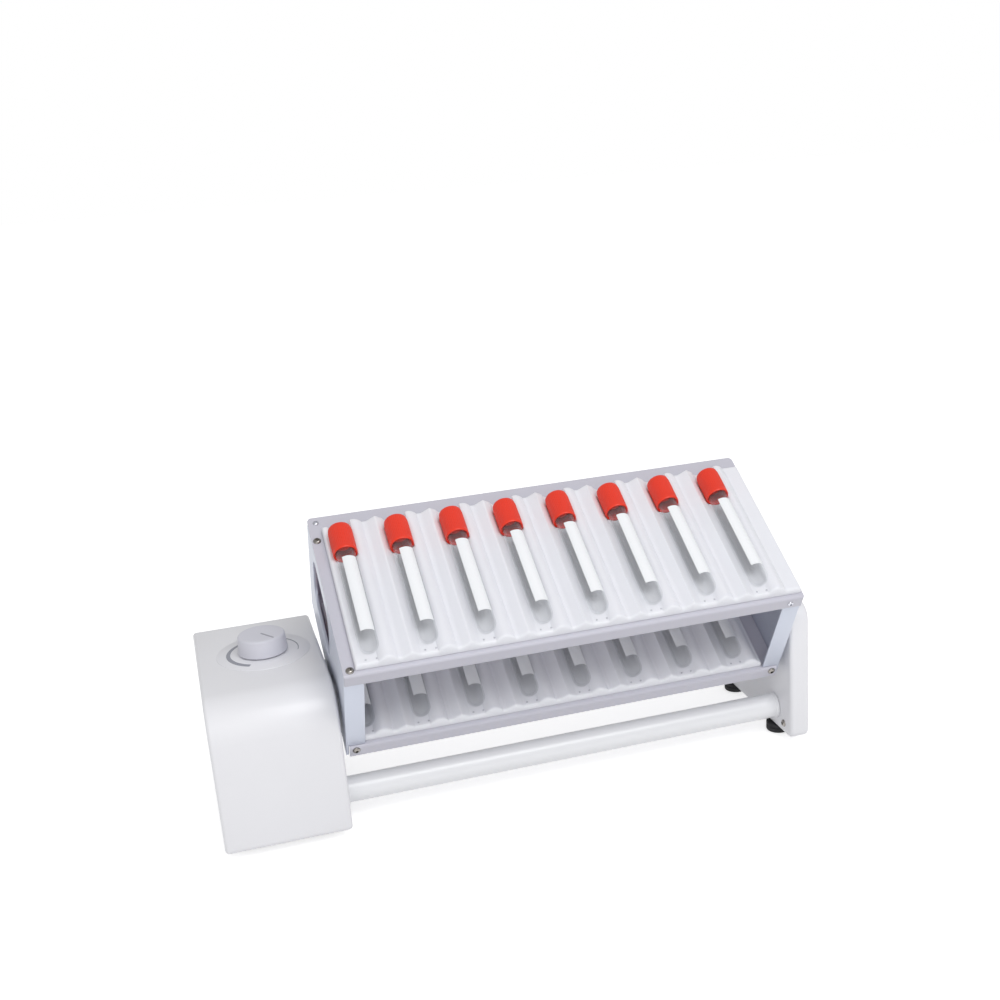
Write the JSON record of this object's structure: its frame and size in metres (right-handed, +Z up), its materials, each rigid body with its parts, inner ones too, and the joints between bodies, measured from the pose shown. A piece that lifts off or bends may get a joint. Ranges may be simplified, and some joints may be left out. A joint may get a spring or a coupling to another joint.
{
  "type": "tube rocker mixer",
  "caption": "Bench mixer that rocks two shelves of capped sample tubes on a motor-driven carriage between a control box and a support plate.",
  "frame": {"origin": "middle of the footprint, on the surface that the feet stand on", "axes": "+X from the control box to the support plate, +Y from the operator's side to the back, +Z up"},
  "size_m": [0.421, 0.1814, 0.2045],
  "materials": {
    "white_enamel": "satin",
    "white_bar": "satin",
    "shelf_paint": "satin",
    "endplate_paint": "satin",
    "mat": "translucent, moulded",
    "tube": "clear",
    "cap": "satin",
    "knob": "matte",
    "rubber": "matte",
    "steel": "turned",
    "motor_steel": "satin",
    "bronze": "turned",
    "gear_plastic": "matte",
    "board": "matte",
    "black_plastic": "matte"
  },
  "bodies": {
    "frame": {"motor_housing": "white_enamel", "base_cover": "white_enamel", "housing_foot_1": "rubber", "housing_foot_2": "rubber", "housing_foot_3": "rubber", "housing_foot_4": "rubber", "support_plate": "white_enamel", "support_foot_1": "rubber", "support_foot_2": "rubber", "crossbar": "white_bar", "shaft_bush": "bronze", "support_bush": "bronze", "motor_bracket": "steel", "gear_motor": "motor_steel", "potentiometer": "steel", "circuit_board": "board", "power_inlet": "black_plastic"},
    "carriage": {"drive_shaft": "steel", "sector_gear": "gear_plastic", "stub_axle": "steel", "left_end_plate": "endplate_paint", "right_end_plate": "endplate_paint", "upper_shelf": "shelf_paint", "lower_shelf": "shelf_paint", "upper_mat": "mat", "lower_mat": "mat", "tube_upper_1": "tube", "tube_upper_2": "tube", "tube_upper_3": "tube", "tube_upper_4": "tube", "tube_upper_5": "tube", "tube_upper_6": "tube", "tube_upper_7": "tube", "tube_upper_8": "tube", "tube_lower_1": "tube", "tube_lower_2": "tube", "tube_lower_3": "tube", "tube_lower_4": "tube", "tube_lower_5": "tube", "tube_lower_6": "tube", "tube_lower_7": "tube", "tube_lower_8": "tube", "cap_upper_1": "cap", "cap_upper_2": "cap", "cap_upper_3": "cap", "cap_upper_4": "cap", "cap_upper_5": "cap", "cap_upper_6": "cap", "cap_upper_7": "cap", "cap_upper_8": "cap", "cap_lower_1": "cap", "cap_lower_2": "cap", "cap_lower_3": "cap", "cap_lower_4": "cap", "cap_lower_5": "cap", "cap_lower_6": "cap", "cap_lower_7": "cap", "cap_lower_8": "cap"},
    "pinion": {"motor_pinion": "steel"},
    "knob": {"speed_knob": "knob"}
  },
  "joints": [
    {"name": "carriage_rock", "type": "hinge", "parent": "frame", "child": "carriage", "pos_m": [0, 0.01209, 0.094], "axis": [1, 0, 0], "range_deg": [-60, 0]},
    {"name": "pinion_spin", "type": "hinge", "parent": "frame", "child": "pinion", "pos_m": [-0.1415, 0.01209, 0.058], "axis": [1, 0, 0], "range_deg": [0, 300]},
    {"name": "knob_turn", "type": "hinge", "parent": "frame", "child": "knob", "pos_m": [-0.165, 0.02669, 0.111], "axis": [0, 0, 1], "range_deg": [-200, 70]}
  ],
  "couplings": [
    {"joint": "pinion_spin", "follows": "carriage_rock", "ratio": -5}
  ]
}
